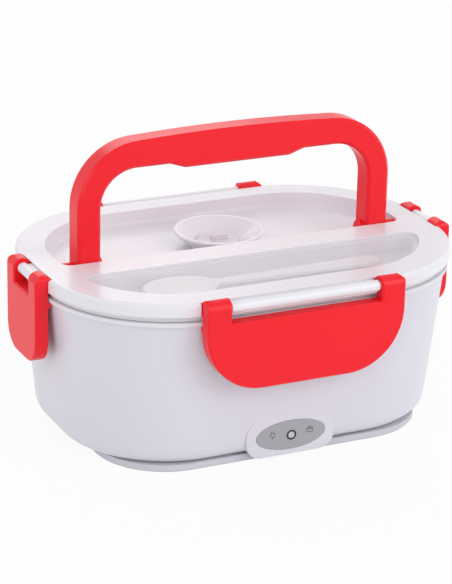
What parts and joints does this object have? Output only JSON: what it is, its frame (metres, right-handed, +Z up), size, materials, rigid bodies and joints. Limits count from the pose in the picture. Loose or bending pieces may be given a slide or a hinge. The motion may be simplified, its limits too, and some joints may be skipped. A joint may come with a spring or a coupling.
{
  "type": "electric food warmer",
  "caption": "Rounded white electric lunch box with a lift-off lid, red flap latches, a folding red carry handle, a covered spoon well and an oval indicator panel.",
  "frame": {"origin": "middle of the underside, on the floor", "axes": "+X along the long side to the right, -Y out of the front with the indicator, +Z up"},
  "size_m": [0.2486, 0.1806, 0.164],
  "materials": {
    "white_shell": "smooth moulded white with a cool cast",
    "milky_lid": "milky white, faintly translucent",
    "clear_cover": "smoky clear, polished",
    "red_plastic": "bright red, satin gloss",
    "white_inner": "matt white",
    "tray_plastic": "matt off-white, food grade",
    "soft_seal": "soft silicone",
    "grey_panel": "smooth grey",
    "lens_plastic": "tinted lens",
    "black_plastic": "black",
    "steel": "zinc plated",
    "aluminium": "bare cast",
    "prong_metal": "nickel plated",
    "board_green": "circuit board"
  },
  "bodies": {
    "base": {"outer_shell": "white_shell", "bottom_cover": "white_shell", "cover_screws": "steel", "inner_liner": "white_inner", "heating_plate": "aluminium", "plate_seal": "soft_seal", "heater_element": "aluminium", "heater_bracket": "steel", "bracket_screws": "steel", "thermostat": "black_plastic", "thermal_fuse": "steel", "indicator_panel": "grey_panel", "led_lens": "lens_plastic", "led_board": "board_green", "inlet_socket": "black_plastic", "inlet_pins": "prong_metal", "food_tray": "tray_plastic"},
    "lid_group": {"lid": "milky_lid", "lid_seal": "soft_seal", "spoon": "white_inner"},
    "bail": {"handle": "red_plastic"},
    "front_flap": {"front_latch": "red_plastic"},
    "rear_flap": {"rear_latch": "red_plastic"},
    "left_flap": {"left_latch": "red_plastic"},
    "right_flap": {"right_latch": "red_plastic"},
    "plug": {"vent_plug": "soft_seal"},
    "clear_plate": {"spoon_cover": "clear_cover"}
  },
  "joints": [
    {"name": "lid_lift", "type": "slide", "parent": "base", "child": "lid_group", "axis": [0, 0, 1], "range_m": [0, 0.12]},
    {"name": "handle_fold", "type": "hinge", "parent": "lid_group", "child": "bail", "pos_m": [0, 0.003, 0.094], "axis": [-1, 0, 0], "range_deg": [0, 70]},
    {"name": "front_latch_open", "type": "hinge", "parent": "lid_group", "child": "front_flap", "pos_m": [0, -0.0853, 0.0955], "axis": [-1, 0, 0], "range_deg": [0, 110]},
    {"name": "rear_latch_open", "type": "hinge", "parent": "lid_group", "child": "rear_flap", "pos_m": [0, 0.0853, 0.0955], "axis": [1, 0, 0], "range_deg": [0, 110]},
    {"name": "left_latch_open", "type": "hinge", "parent": "lid_group", "child": "left_flap", "pos_m": [-0.1193, 0, 0.0955], "axis": [0, 1, 0], "range_deg": [0, 110]},
    {"name": "right_latch_open", "type": "hinge", "parent": "lid_group", "child": "right_flap", "pos_m": [0.1193, 0, 0.0955], "axis": [0, -1, 0], "range_deg": [0, 110]},
    {"name": "plug_lift", "type": "slide", "parent": "lid_group", "child": "plug", "axis": [0, 0, 1], "range_m": [0, 0.03]},
    {"name": "cover_lift", "type": "slide", "parent": "lid_group", "child": "clear_plate", "axis": [0, 0, 1], "range_m": [0, 0.03]}
  ]
}
